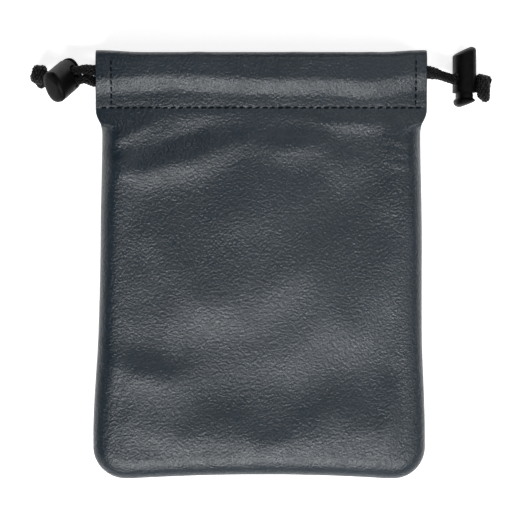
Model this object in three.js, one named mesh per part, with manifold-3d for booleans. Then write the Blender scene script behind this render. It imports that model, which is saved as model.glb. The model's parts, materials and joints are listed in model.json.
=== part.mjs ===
// Drawstring dice bag, lying on its back.
// Millimetres. X runs across the bag, +Y points to the mouth, +Z is up, and the back rests on Z = 0.
// Two soft panels are sewn together at the sides and the bottom. Each panel's top edge is turned back
// into a casing that carries one cord. At each side the two cords go through a sprung lock to a knot.

import * as THREE from 'three';
import * as BufferGeometryUtils from 'three/addons/utils/BufferGeometryUtils.js';
import Module from 'manifold-3d';

const wasm = await Module();
wasm.setup();

// ---------------------------------------------------------------- driving dimensions

const SHEET = 0.9; // thickness of the faux leather
const GAP = 0.15; // half of the clearance between two meeting edges

const BOTTOM_Y = -76.8;
const TOP_Y = 76.8;
const BODY_HALF_WIDTH = 58;
const CASING_HALF_WIDTH = 59.2;
const NECK_HALF_WIDTH = 57.4; // just below the casing
const BASE_HALF_WIDTH = 59.2; // widest, above the bottom corners
const CORNER_RADIUS = 11.5;
const BOTTOM_ARCH = 1.4; // how far the bottom edge bows in between its corners

const STITCH_Y = 56.7; // the row that closes both casings
const CASING_START_Y = 54.8; // raw edge of the turned-back strip
const CORD_Y = 68.8;
const CASING_HALF_MIN = SHEET + GAP; // half thickness of a casing at its stitch row
const CASING_HALF_MAX = 3.1; // half thickness of a casing around its cord
const CASING_FULL_Y = 67; // from here up the casing has its full thickness
const FOLD_RADIUS = 3.2;
const SEAM_RADIUS = 7.5;

const BACK_CASING_Z = CASING_HALF_MAX; // middle plane of the back casing, at X = 0
const MOUTH_GAP = 5;
const FRONT_CASING_Z = BACK_CASING_Z + 2 * CASING_HALF_MAX + MOUTH_GAP;
const BACK_CASING_END_Z = 5.7; // the same planes at the bag's sides, where the mouth closes
const FRONT_CASING_END_Z = 12.2;

const SIDE_STITCH_X = [-53.8, 55.4];
const STITCH_WIDTH = 0.7;
const STITCH_HEIGHT = 0.4;
const STITCH_LIFT = 0.3;

const CORD_RADIUS = 1.9;
const STRAND_RADIUS = 1.6; // a strand pinched by its lock

const LOCK_HALF_DEPTH = 4; // along the cord hole
const LOCK_HALF_BREADTH = 5.75;
const BARREL_SLANT = THREE.MathUtils.degToRad(25); // of the barrel's closed end
const BUTTON_SLANT = THREE.MathUtils.degToRad(20); // of the button's head
const LOCK_WALL = 0.8;
const LOCK_CLEARANCE = 0.3;
const BARREL_MOUTH = -5.8; // open end of the barrel, from the lock's middle
const BARREL_END = 9.3; // outer face of its closed end
const BARREL_FLOOR = 6.4; // inner face of its closed end
const CORD_HOLE = -2.2; // middle of the strands in the lock
const CORD_HOLE_TILT = Math.atan2(0.28, 0.96);
const HOLE_HALF_BREADTH = 4.05;
const BUTTON_TRAVEL = 1.8;
const BUTTON_END = -9.7; // outer face of the button's head
const HEAD_HALF_DEPTH = 3.7;
const HEAD_HALF_BREADTH = 5.45;
const HEAD_TOP = BARREL_MOUTH - BUTTON_TRAVEL - 0.3; // stays clear of the barrel when pressed
const BUTTON_TOP = 2.4;
const POCKET_FLOOR = 1.2;
const POCKET_RADIUS = 2.2;
const SPRING_RADIUS = 1.6;
const SPRING_WIRE_RADIUS = 0.25;
const SPRING_TURNS = 4;

// ---------------------------------------------------------------- materials

const COLOURS = {
  leather: { color: 0x3f4b55, roughness: 0.5, metalness: 0 },
  lining: { color: 0x39424b, roughness: 0.7, metalness: 0 },
  thread: { color: 0x2a3138, roughness: 0.8, metalness: 0 },
  cord: { color: 0x0e0e0f, roughness: 0.85, metalness: 0 },
  plastic: { color: 0x0b0b0b, roughness: 0.35, metalness: 0 },
  steel: { color: 0xb5b7b8, roughness: 0.3, metalness: 1 },
};

const bag = new THREE.Group();

function addPiece(name, geometry, finish, parent = bag) {
  const mesh = new THREE.Mesh(geometry, new THREE.MeshStandardMaterial(COLOURS[finish]));
  mesh.name = name;
  parent.add(mesh);
  return mesh;
}

// ---------------------------------------------------------------- the bag's outer shape

const { lerp, smoothstep, clamp } = THREE.MathUtils;

// A quarter of an ellipse: 0 at an edge, 1 from one radius inwards.
function quarterRound(distance, radius) {
  const t = clamp(distance / radius, 0, 1);
  return Math.sqrt(1 - (1 - t) ** 2);
}

// 0 in the pouch, 1 in the casing.
function casingShare(y) {
  return smoothstep(y, 48.5, 55);
}

function sideHalfWidth(y) {
  const base = lerp(BASE_HALF_WIDTH, BODY_HALF_WIDTH, smoothstep(y, -62, -20));
  const neck = lerp(base, NECK_HALF_WIDTH, smoothstep(y, 10, 48));
  return lerp(neck, CASING_HALF_WIDTH, smoothstep(y, 50, 55.6));
}

function halfWidth(y) {
  const aboveCorner = y - (BOTTOM_Y + CORNER_RADIUS);
  const side = sideHalfWidth(y);
  if (aboveCorner >= 0) {
    return side;
  }
  return side - CORNER_RADIUS + Math.sqrt(Math.max(CORNER_RADIUS ** 2 - aboveCorner ** 2, 0));
}

// Distance in from the sewn sides and bottom; the casing's ends are open, so it grows large there.
function seamDistance(x, y) {
  const across = sideHalfWidth(y) - Math.abs(x);
  const up = y - BOTTOM_Y;
  const openEnds = SEAM_RADIUS * 2 * casingShare(y);
  if (across < CORNER_RADIUS && up < CORNER_RADIUS) {
    return CORNER_RADIUS - Math.hypot(CORNER_RADIUS - across, CORNER_RADIUS - up) + openEnds;
  }
  return Math.min(across, up) + openEnds;
}

function casingHalf(y) {
  const t = clamp((y - STITCH_Y) / (CASING_FULL_Y - STITCH_Y), 0, 1);
  return lerp(CASING_HALF_MIN, CASING_HALF_MAX, Math.sin((t * Math.PI) / 2));
}

function casingPlane(x, side) {
  const t = Math.abs(x / CASING_HALF_WIDTH) ** 4;
  return side > 0
    ? lerp(FRONT_CASING_Z, FRONT_CASING_END_Z, t)
    : lerp(BACK_CASING_Z, BACK_CASING_END_Z, t);
}

// Height of the line where the two panels are sewn together.
function seamHeight(y) {
  return lerp(5.6, 8.8, smoothstep(y, BOTTOM_Y, 50));
}

// Outer surface of a panel away from its seams: side is +1 on the front and -1 on the back.
function bellyHeight(y, side) {
  return side > 0 ? lerp(11, 15, smoothstep(y, BOTTOM_Y, 52)) : 0;
}

// The plane a panel's edges are turned to, and the height of its outer surface beyond that plane.
function section(x, y, side) {
  const share = casingShare(y);
  const seam = seamHeight(y);
  const casing = casingPlane(x, side);
  const plane = lerp(seam, casing, share);
  const outer = lerp(bellyHeight(y, side), casing + side * casingHalf(y), share);
  return { plane, rise: side * (outer - plane), share };
}

const RIM_SHARE = 0.2; // an edge keeps this part of the rise, so that it stays thick

function shellHeights(rise, distance, radius) {
  const edge = lerp(RIM_SHARE, 1, quarterRound(distance, radius));
  return {
    outer: GAP + (rise - GAP) * edge,
    inner: GAP + (rise - SHEET - GAP) * quarterRound(distance - SHEET, radius),
  };
}

// ---------------------------------------------------------------- sheets

// A box with a grid of columns and rows, each vertex of which is then placed by a function.
function gridSolid(columns, rows, place) {
  const geometry = new THREE.BoxGeometry(1, 1, 1, columns.length - 1, rows.length - 1, 1);
  const position = geometry.attributes.position;
  for (let i = 0; i < position.count; i += 1) {
    const column = columns[Math.round((position.getX(i) + 0.5) * (columns.length - 1))];
    const row = rows[Math.round((position.getY(i) + 0.5) * (rows.length - 1))];
    const point = place(column, row, position.getZ(i) > 0);
    position.setXYZ(i, point.x, point.y, point.z);
  }
  geometry.computeVertexNormals();
  return geometry;
}

const HALF_COLUMNS = [0.22, 0.44, 0.62, 0.76, 0.87, 0.94, 0.98, 1];
const COLUMNS = [...HALF_COLUMNS.map((u) => -u).reverse(), 0, ...HALF_COLUMNS];
const POUCH_ROWS = [BOTTOM_Y, -76.2, -74.5, -71.5, -67, -60, -46, -30, -14, 2, 18, 34, 45, 50, 53];
const CASING_ROWS = [STITCH_Y, 60, 63.5, 67, 73.3, 75, 76, TOP_Y];

function bottomArch(x, y) {
  const nearBottom = 1 - smoothstep(y, BOTTOM_Y, -58);
  return BOTTOM_ARCH * nearBottom * (1 - Math.min((x / 45) ** 2, 1));
}

function panel(side) {
  return gridSolid(COLUMNS, [...POUCH_ROWS, ...CASING_ROWS], (u, y, upper) => {
    const x = u * halfWidth(y);
    const { plane, rise, share } = section(x, y, side);
    const distance = Math.min(seamDistance(x, y), TOP_Y - y);
    const radius = lerp(SEAM_RADIUS, FOLD_RADIUS, share);
    const { outer, inner } = shellHeights(rise, distance, radius);
    const height = upper === side > 0 ? outer : inner;
    return { x, y: y + bottomArch(x, y), z: plane + side * height };
  });
}

// The turned-back strip that closes a casing on the mouth's side.
function casing(side) {
  return gridSolid(COLUMNS, [CASING_START_Y, ...CASING_ROWS], (u, y, upper) => {
    const x = u * CASING_HALF_WIDTH;
    const { outer, inner } = shellHeights(casingHalf(y), TOP_Y - y, FOLD_RADIUS);
    const height = upper === side > 0 ? inner : outer;
    return { x, y, z: casingPlane(x, side) - side * height };
  });
}

addPiece('back_panel', panel(-1), 'leather');
addPiece('front_panel', panel(1), 'leather');
addPiece('back_casing', casing(-1), 'lining');
addPiece('front_casing', casing(1), 'lining');

// ---------------------------------------------------------------- stitch rows

function outerSurface(x, y, side) {
  const { plane, rise } = section(x, y, side);
  return plane + side * rise;
}

function stitchHeight(x, y, side, upper) {
  const far = upper === side > 0 ? STITCH_HEIGHT : 0;
  return outerSurface(x, y, side) + side * (STITCH_LIFT + far);
}

// A row of stitches across the bag, on the outside of a panel.
function crossRow(side) {
  const columns = COLUMNS.map((u) => u * (CASING_HALF_WIDTH - 1.2));
  return gridSolid(columns, [STITCH_Y - STITCH_WIDTH / 2, STITCH_Y + STITCH_WIDTH / 2], (x, y, upper) => ({
    x,
    y,
    z: stitchHeight(x, STITCH_Y, side, upper),
  }));
}

// A short row that holds down the turned-in edge at one end of a casing.
function endRow(side, x) {
  const rows = [STITCH_Y + 1, 60, 63.5, 67, 72.5];
  return gridSolid([x - STITCH_WIDTH / 2, x + STITCH_WIDTH / 2], rows, (column, y, upper) => ({
    x: column,
    y,
    z: stitchHeight(column, y, side, upper),
  }));
}

for (const [face, side] of [['front', 1], ['back', -1]]) {
  addPiece(`${face}_casing_thread`, crossRow(side), 'thread');
  addPiece(`${face}_left_end_thread`, endRow(side, SIDE_STITCH_X[0]), 'thread');
  addPiece(`${face}_right_end_thread`, endRow(side, SIDE_STITCH_X[1]), 'thread');
}

// ---------------------------------------------------------------- round stock

function circle(radius, sides) {
  const points = [];
  for (let i = 0; i < sides; i += 1) {
    const angle = (i / sides) * Math.PI * 2;
    points.push(new THREE.Vector2(Math.cos(angle) * radius, Math.sin(angle) * radius));
  }
  return new THREE.Shape(points);
}

function roundBar(points, radius, sides, steps) {
  const extrudePath = new THREE.CatmullRomCurve3(points.map((p) => new THREE.Vector3(...p)));
  return new THREE.ExtrudeGeometry(circle(radius, sides), { steps, extrudePath, bevelEnabled: false });
}

// The thread that joins the two panels runs round the inside of the side and bottom seams.
const SEAM_THREAD_INSET = 2.4;
const SEAM_THREAD_RADIUS = 0.35;

function seamThreadPath() {
  const points = [];
  const corner = CORNER_RADIUS - SEAM_THREAD_INSET;
  for (const y of [47, 20, -20, -62]) {
    points.push([-(sideHalfWidth(y) - SEAM_THREAD_INSET), y, seamHeight(y)]);
  }
  for (const angle of [20, 45, 70]) {
    const turn = THREE.MathUtils.degToRad(angle);
    const x = -(BASE_HALF_WIDTH - CORNER_RADIUS + corner * Math.cos(turn));
    const y = BOTTOM_Y + CORNER_RADIUS - corner * Math.sin(turn);
    points.push([x, y, seamHeight(y)]);
  }
  for (const x of [-42, -24, -8]) {
    const y = BOTTOM_Y + SEAM_THREAD_INSET;
    points.push([x, y + bottomArch(x, y), seamHeight(y)]);
  }
  const mirrored = points.map(([x, y, z]) => [-x, y, z]).reverse();
  return [...points, ...mirrored];
}

addPiece('seam_thread', roundBar(seamThreadPath(), SEAM_THREAD_RADIUS, 5, 60), 'thread');

// ---------------------------------------------------------------- cords

const CORD_END_X = CASING_HALF_WIDTH + 0.1;

// Each cord lies along its casing; the back one leaves a little lower on the left.
function casingCord(side, leftY, rightY) {
  const points = [];
  for (const u of COLUMNS) {
    const x = u * CORD_END_X;
    const y = u < 0 ? lerp(CORD_Y, leftY, u * u) : lerp(CORD_Y, rightY, u * u);
    points.push([x, y, casingPlane(x, side)]);
  }
  return roundBar(points, CORD_RADIUS, 8, 24);
}

addPiece('front_cord', casingCord(1, 70.3, 70), 'cord');
addPiece('back_cord', casingCord(-1, 66.6, 69.6), 'cord');

// ---------------------------------------------------------------- where the locks lie

// A lock's own frame: X through its flat sides, Y across them, Z along the barrel to its closed end.
// The cord hole runs along X, turned by yaw across the lock and tilted towards the barrel's mouth.
function lockFrame(centre, axis, holeHint, yaw) {
  const along = new THREE.Vector3(...axis).normalize();
  const hint = new THREE.Vector3(...holeHint);
  const depth = hint.addScaledVector(along, -hint.dot(along)).normalize();
  const breadth = new THREE.Vector3().crossVectors(along, depth);
  const group = new THREE.Group();
  group.quaternion.setFromRotationMatrix(new THREE.Matrix4().makeBasis(depth, breadth, along));
  group.position.set(...centre);
  bag.add(group);
  const travel = depth
    .clone()
    .addScaledVector(breadth, -Math.tan(yaw))
    .addScaledVector(along, -Math.tan(CORD_HOLE_TILT))
    .normalize();
  const hole = new THREE.Vector3(...centre).addScaledVector(along, CORD_HOLE);
  return { group, travel, hole, yaw };
}

const LEFT_HOLE_YAW = THREE.MathUtils.degToRad(8);
const LOCKS = {
  left: lockFrame([-71.3, 66.9, 11.8], [-0.3, -0.36, 0.883], [0.894, 0.217, 0.392], LEFT_HOLE_YAW),
  right: lockFrame([73.35, 68.35, 6.6], [0, 1, 0], [0.985, 0, -0.174], 0),
};

// ---------------------------------------------------------------- strands between the casing and the knot

const STRAND_END = 4.75; // from the middle of the lock's hole, just clear of the lock

// Each strand leaves its casing, bends once and runs straight through the lock, which slides on that stretch.
const STRAND_ROUTES = {
  left_front_strand: [
    [-59.6, 70.3, 12.2],
    [-60.2, 70.3, 12.2],
    [-64.41, 70.66, 10.99],
    [-67.83, 70.02, 10.66],
    [-71.26, 69.37, 10.33],
    [-75.9, 68.49, 9.89],
  ],
  left_back_strand: [
    [-59.6, 66.6, 5.7],
    [-60.2, 66.6, 5.7],
    [-63.18, 67.31, 10.04],
    [-66.6, 66.66, 9.71],
    [-70.02, 66.01, 9.38],
    [-74.67, 65.14, 8.94],
  ],
  right_front_strand: [
    [59.6, 70, 12.2],
    [60.2, 70, 12.2],
    [64.6, 68.84, 10.02],
    [69.13, 67.49, 9.22],
    [73.67, 66.15, 8.42],
    [78.16, 64.82, 7.63],
  ],
  right_back_strand: [
    [59.6, 69.6, 5.7],
    [60.2, 69.6, 5.7],
    [63.95, 68.84, 6.38],
    [68.49, 67.49, 5.58],
    [73.03, 66.15, 4.78],
    [77.52, 64.82, 3.98],
  ],
};

for (const [name, route] of Object.entries(STRAND_ROUTES)) {
  addPiece(name, roundBar(route, STRAND_RADIUS, 8, 10), 'cord');
}

// ---------------------------------------------------------------- knots

// Both strands are tied together in one knot, seen here as two fat wraps side by side.
const KNOT_PROFILE = [
  [0, 0],
  [0.62, 0.02],
  [0.9, 0.12],
  [1, 0.28],
  [0.86, 0.47],
  [0.86, 0.53],
  [1, 0.72],
  [0.9, 0.88],
  [0.62, 0.98],
  [0, 1],
];

function knot(end, length, radiusAcross, radiusUp) {
  const { travel, hole } = LOCKS[end];
  const outward = end === 'left' ? -1 : 1;
  const profile = KNOT_PROFILE.map(([r, t]) => new THREE.Vector2(r, t * length));
  const geometry = new THREE.LatheGeometry(profile, 14);
  geometry.scale(radiusAcross, 1, radiusUp);
  const mesh = addPiece(`${end}_knot`, geometry, 'cord');
  const axis = travel.clone().multiplyScalar(outward);
  const across = new THREE.Vector3(0, 0, 1).cross(axis).normalize();
  const up = new THREE.Vector3().crossVectors(across, axis).negate();
  mesh.quaternion.setFromRotationMatrix(new THREE.Matrix4().makeBasis(across, axis, up.negate()));
  mesh.position.copy(hole).addScaledVector(axis, STRAND_END + 0.35);
}

knot('left', 7.2, 4.3, 4);
knot('right', 5.8, 5.2, 4.6);

// ---------------------------------------------------------------- cord locks

function asSolid(geometry) {
  const bare = geometry.clone();
  bare.deleteAttribute('normal');
  bare.deleteAttribute('uv');
  const merged = BufferGeometryUtils.mergeVertices(bare, 1e-4);
  return new wasm.Manifold(
    new wasm.Mesh({
      numProp: 3,
      vertProperties: new Float32Array(merged.attributes.position.array),
      triVerts: new Uint32Array(merged.index.array),
    }),
  );
}

function asGeometry(solid) {
  const mesh = solid.getMesh();
  const geometry = new THREE.BufferGeometry();
  geometry.setAttribute('position', new THREE.BufferAttribute(new Float32Array(mesh.vertProperties), 3));
  geometry.setIndex(new THREE.BufferAttribute(new Uint32Array(mesh.triVerts), 1));
  return geometry;
}

// A straight bar with two flat sides and two round ones.
function roundedBar(halfDepth, halfBreadth, from, to, curveSegments = 8) {
  const straight = halfBreadth - halfDepth;
  const shape = new THREE.Shape();
  shape.moveTo(halfDepth, -straight);
  shape.absarc(0, straight, halfDepth, 0, Math.PI, false);
  shape.absarc(0, -straight, halfDepth, Math.PI, Math.PI * 2, false);
  const options = { depth: to - from, steps: 1, bevelEnabled: false, curveSegments };
  return new THREE.ExtrudeGeometry(shape, options).translate(0, 0, from);
}

// Slants the end at height z, so that the bar is longer on one flat side.
function slantEnd(geometry, z, slant) {
  const position = geometry.attributes.position;
  for (let i = 0; i < position.count; i += 1) {
    if (Math.abs(position.getZ(i) - z) < 0.01) {
      position.setZ(i, z + position.getX(i) * Math.tan(slant));
    }
  }
  return geometry;
}

// The slot for both strands, turned and tilted in the lock like the cords that it carries.
function cordSlot(bottom, top, yaw) {
  const slot = new THREE.BoxGeometry(LOCK_HALF_DEPTH * 3, HOLE_HALF_BREADTH * 2, top - bottom);
  slot.translate(0, 0, (top + bottom) / 2);
  const position = slot.attributes.position;
  for (let i = 0; i < position.count; i += 1) {
    const x = position.getX(i);
    position.setY(i, position.getY(i) - x * Math.tan(yaw));
    position.setZ(i, position.getZ(i) - x * Math.tan(CORD_HOLE_TILT));
  }
  return slot;
}

const STRAND_CLEARANCE = 0.2;
const SLOT_BOTTOM = CORD_HOLE - STRAND_RADIUS - STRAND_CLEARANCE;
const SLOT_TOP = CORD_HOLE + STRAND_RADIUS + STRAND_CLEARANCE;

function barrel(yaw) {
  const outer = roundedBar(LOCK_HALF_DEPTH, LOCK_HALF_BREADTH, BARREL_MOUTH, BARREL_END);
  const bore = roundedBar(
    LOCK_HALF_DEPTH - LOCK_WALL,
    LOCK_HALF_BREADTH - LOCK_WALL,
    BARREL_MOUTH - 1,
    BARREL_FLOOR,
  );
  return asGeometry(
    asSolid(slantEnd(outer, BARREL_END, BARREL_SLANT))
      .subtract(asSolid(bore))
      .subtract(asSolid(cordSlot(SLOT_BOTTOM, SLOT_TOP + 0.4, yaw))),
  );
}

// A plunger that slides in the barrel, with a wider head outside it.
function button(yaw) {
  const inset = LOCK_WALL + LOCK_CLEARANCE;
  const overlap = 0.1;
  const plunger = roundedBar(
    LOCK_HALF_DEPTH - inset,
    LOCK_HALF_BREADTH - inset,
    HEAD_TOP - overlap,
    BUTTON_TOP,
  );
  const head = roundedBar(HEAD_HALF_DEPTH, HEAD_HALF_BREADTH, BUTTON_END, HEAD_TOP);
  const pocket = new THREE.CylinderGeometry(POCKET_RADIUS, POCKET_RADIUS, 4, 16);
  pocket.rotateX(Math.PI / 2).translate(0, 0, POCKET_FLOOR + 2);
  return asGeometry(
    asSolid(slantEnd(head, BUTTON_END, BUTTON_SLANT))
      .add(asSolid(plunger))
      .subtract(asSolid(cordSlot(SLOT_BOTTOM - BUTTON_TRAVEL, SLOT_TOP, yaw)))
      .subtract(asSolid(pocket)),
  );
}

class Helix extends THREE.Curve {
  constructor(radius, bottom, top, turns) {
    super();
    Object.assign(this, { radius, bottom, top, turns });
  }

  getPoint(t, target = new THREE.Vector3()) {
    const angle = t * this.turns * Math.PI * 2;
    return target.set(
      Math.cos(angle) * this.radius,
      Math.sin(angle) * this.radius,
      lerp(this.bottom, this.top, t),
    );
  }
}

function spring() {
  const clearance = SPRING_WIRE_RADIUS + LOCK_CLEARANCE;
  const bottom = POCKET_FLOOR + clearance;
  const extrudePath = new Helix(SPRING_RADIUS, bottom, BARREL_FLOOR - clearance, SPRING_TURNS);
  const steps = SPRING_TURNS * 10;
  const shape = circle(SPRING_WIRE_RADIUS, 5);
  return new THREE.ExtrudeGeometry(shape, { steps, extrudePath, bevelEnabled: false });
}

for (const end of ['left', 'right']) {
  const { group, yaw } = LOCKS[end];
  addPiece(`${end}_lock_barrel`, barrel(yaw), 'plastic', group);
  addPiece(`${end}_lock_button`, button(yaw), 'plastic', group);
  addPiece(`${end}_lock_spring`, spring(), 'steel', group);
}

export default bag;
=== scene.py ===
import json
import math

import bmesh
import bpy
import numpy as np
from bpy.props import FloatProperty, FloatVectorProperty, IntProperty, PointerProperty
from bpy.types import Operator, Panel, PropertyGroup
from mathutils import Matrix, Vector, noise


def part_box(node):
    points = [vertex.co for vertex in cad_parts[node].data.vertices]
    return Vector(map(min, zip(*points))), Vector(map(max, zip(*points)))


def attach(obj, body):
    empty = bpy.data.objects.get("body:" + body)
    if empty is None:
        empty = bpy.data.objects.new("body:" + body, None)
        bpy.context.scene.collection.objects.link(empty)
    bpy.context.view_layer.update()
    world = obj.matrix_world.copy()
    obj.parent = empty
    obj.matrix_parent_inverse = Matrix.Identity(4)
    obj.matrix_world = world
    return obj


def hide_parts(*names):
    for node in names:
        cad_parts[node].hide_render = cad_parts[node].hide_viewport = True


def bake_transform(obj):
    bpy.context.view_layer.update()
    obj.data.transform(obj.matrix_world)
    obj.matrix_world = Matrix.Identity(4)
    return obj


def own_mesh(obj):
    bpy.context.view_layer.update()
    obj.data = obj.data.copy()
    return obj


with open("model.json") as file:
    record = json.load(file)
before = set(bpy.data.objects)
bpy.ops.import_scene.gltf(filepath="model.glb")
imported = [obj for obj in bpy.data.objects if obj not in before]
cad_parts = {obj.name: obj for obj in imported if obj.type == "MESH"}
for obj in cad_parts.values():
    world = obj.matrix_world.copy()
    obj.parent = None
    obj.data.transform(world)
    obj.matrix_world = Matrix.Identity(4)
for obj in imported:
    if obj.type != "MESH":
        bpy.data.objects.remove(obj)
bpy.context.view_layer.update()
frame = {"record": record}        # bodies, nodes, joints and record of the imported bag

bl_info = {
    "name": "Drawstring Dice Bag",
    "version": (1, 0, 0),
    "blender": (4, 5, 0),
    "location": "3D View > Sidebar > Dice Bag",
    "description": "Builds a faux leather drawstring bag with braided cords and cord locks",
    "category": "Object",
}

MM = 0.001

# ---------------------------------------------------------------- sizes taken from the frame

FRONT_LOW, FRONT_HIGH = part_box("front_panel")
CASING_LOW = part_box("front_casing")[0]
STITCH_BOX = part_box("front_casing_thread")

TOP_Y = FRONT_HIGH[1]
BOTTOM_Y = FRONT_LOW[1]
CASING_HALF_WIDTH = FRONT_HIGH[0]
STITCH_Y = (STITCH_BOX[0][1] + STITCH_BOX[1][1]) / 2
RAW_EDGE_Y = CASING_LOW[1]
LEFT_END_X = sum(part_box("front_left_end_thread")[k][0] for k in (0, 1)) / 2
RIGHT_END_X = sum(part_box("front_right_end_thread")[k][0] for k in (0, 1)) / 2

# The leather's outline and heights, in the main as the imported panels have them. The casing is
# rounder over its cord, and the lower left side is a little wider: see leather_skin.
BODY_HALF_WIDTH = 58 * MM
NECK_HALF_WIDTH = 57.4 * MM
BASE_HALF_WIDTH = 59.2 * MM
CORNER_RADIUS = 11.5 * MM
BOTTOM_ARCH = 1.4 * MM
SEAM_RADIUS = 7.5 * MM
FOLD_RADIUS = 3.2 * MM
CASING_HALF_MIN = 1.0 * MM
CASING_HALF_MAX = 3.1 * MM
CORD_Y = 68.8 * MM
CASING_PLANES = {1: (14.3 * MM, 12.2 * MM), -1: (3.1 * MM, 5.7 * MM)}

CORD_RADIUS = 2.05 * MM
LOCK_HALF_DEPTH = 4 * MM
LOCK_HALF_BREADTH = 5.75 * MM
LOCK_WALL = 0.8 * MM
BARREL_MOUTH = -5.8 * MM
BARREL_FLOOR = 6.4 * MM
CORD_HOLE = -2.2 * MM
CORD_HOLE_TILT = math.atan2(0.28, 0.96)
CORD_HOLE_YAW = {"left": math.radians(8), "right": 0.0}
HOLE_HALF_BREADTH = 4.05 * MM
SLOT_LOW, SLOT_HIGH = -4.0 * MM, -0.4 * MM
BUTTON_TRAVEL = 1.8 * MM
HEAD_HALF_DEPTH = 3.7 * MM
HEAD_HALF_BREADTH = 5.45 * MM
POCKET_FLOOR = 1.2 * MM
POCKET_RADIUS = 2.2 * MM


# ---------------------------------------------------------------- settings a user would change

class BagLeatherSettings(PropertyGroup):
    thickness: FloatProperty(
        name="Thickness",
        description="Thickness of the faux leather",
        default=0.8 * MM, min=0.4 * MM, max=2 * MM, subtype="DISTANCE", unit="LENGTH",
    )
    slack: FloatProperty(
        name="Slack",
        description="How much larger the leather is cut than the space it lies in",
        default=0.013, min=0.0, max=0.1, subtype="FACTOR",
    )
    grain: FloatProperty(
        name="Grain",
        description="Size of the pebbles in the leather's surface",
        default=0.85 * MM, min=0.1 * MM, max=3 * MM, subtype="DISTANCE", unit="LENGTH",
    )
    # Dark colour: the darker mottling. Made darker still, it is also the painted shade in the pore hollows.
    dark: FloatVectorProperty(
        name="Dark colour",
        description="Colour of the darker mottling",
        default=(0.004, 0.011, 0.017), size=3, min=0, max=1, subtype="COLOR",
    )
    # Light colour: the paler mottling. Made paler still, it is also the painted highlight on the pore tops,
    # which the description calls rubbed grain.
    light: FloatVectorProperty(
        name="Light colour",
        description="Colour of the paler mottling and the rubbed grain",
        default=(0.011, 0.020, 0.030), size=3, min=0, max=1, subtype="COLOR",
    )


class BagStitchSettings(PropertyGroup):
    pitch: FloatProperty(
        name="Stitch length",
        description="Distance from one stitch to the next",
        default=2.75 * MM, min=1 * MM, max=6 * MM, subtype="DISTANCE", unit="LENGTH",
    )
    end_pitch: FloatProperty(
        name="End stitch length",
        description="The same for the short rows at the casing's ends",
        default=2.35 * MM, min=1 * MM, max=6 * MM, subtype="DISTANCE", unit="LENGTH",
    )
    thread: FloatProperty(
        name="Thread",
        description="Thickness of the sewing thread",
        default=0.62 * MM, min=0.1 * MM, max=1 * MM, subtype="DISTANCE", unit="LENGTH",
    )
    colour: FloatVectorProperty(
        name="Colour",
        description="Colour of the sewing thread",
        default=(0.0025, 0.0050, 0.0085), size=3, min=0, max=1, subtype="COLOR",
    )


class BagCordSettings(PropertyGroup):
    carriers: IntProperty(
        name="Carriers",
        description="Yarns that run each way round the braid",
        default=8, min=4, max=16,
    )
    lay_length: FloatProperty(
        name="Lay length",
        description="Length of cord in which a yarn goes round once",
        default=12.5 * MM, min=4 * MM, max=40 * MM, subtype="DISTANCE", unit="LENGTH",
    )
    colour: FloatVectorProperty(
        name="Colour",
        description="Colour of the yarn",
        default=(0.0016, 0.0016, 0.0017), size=3, min=0, max=1, subtype="COLOR",
    )


class BagLockSettings(PropertyGroup):
    edge: FloatProperty(
        name="Edge radius",
        description="Radius of the moulded edges",
        default=0.35 * MM, min=0.05 * MM, max=1 * MM, subtype="DISTANCE", unit="LENGTH",
    )
    colour: FloatVectorProperty(
        name="Colour",
        description="Colour of the moulded plastic",
        default=(0.0018, 0.0018, 0.0018), size=3, min=0, max=1, subtype="COLOR",
    )


class BagStageSettings(PropertyGroup):
    key: FloatProperty(
        name="Key light",
        description="Power of the large soft light at the foot of the bag",
        default=8.5, min=0, max=100, unit="POWER",
    )
    fill: FloatProperty(
        name="Fill light",
        description="Power of each of the two smaller soft lights",
        default=1.5, min=0, max=100, unit="POWER",
    )
    room: FloatProperty(
        name="Room light",
        description="Brightness of the plain surroundings",
        default=0.01, min=0, max=2,
    )
    glow: FloatProperty(
        name="Floor glow",
        description="Light that the floor gives off, as a light table does",
        default=0.74, min=0, max=2,
    )
    floor: FloatVectorProperty(
        name="Floor",
        description="Colour of the floor",
        default=(0.92, 0.92, 0.92), size=3, min=0, max=1, subtype="COLOR",
    )


# ---------------------------------------------------------------- node materials

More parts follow.
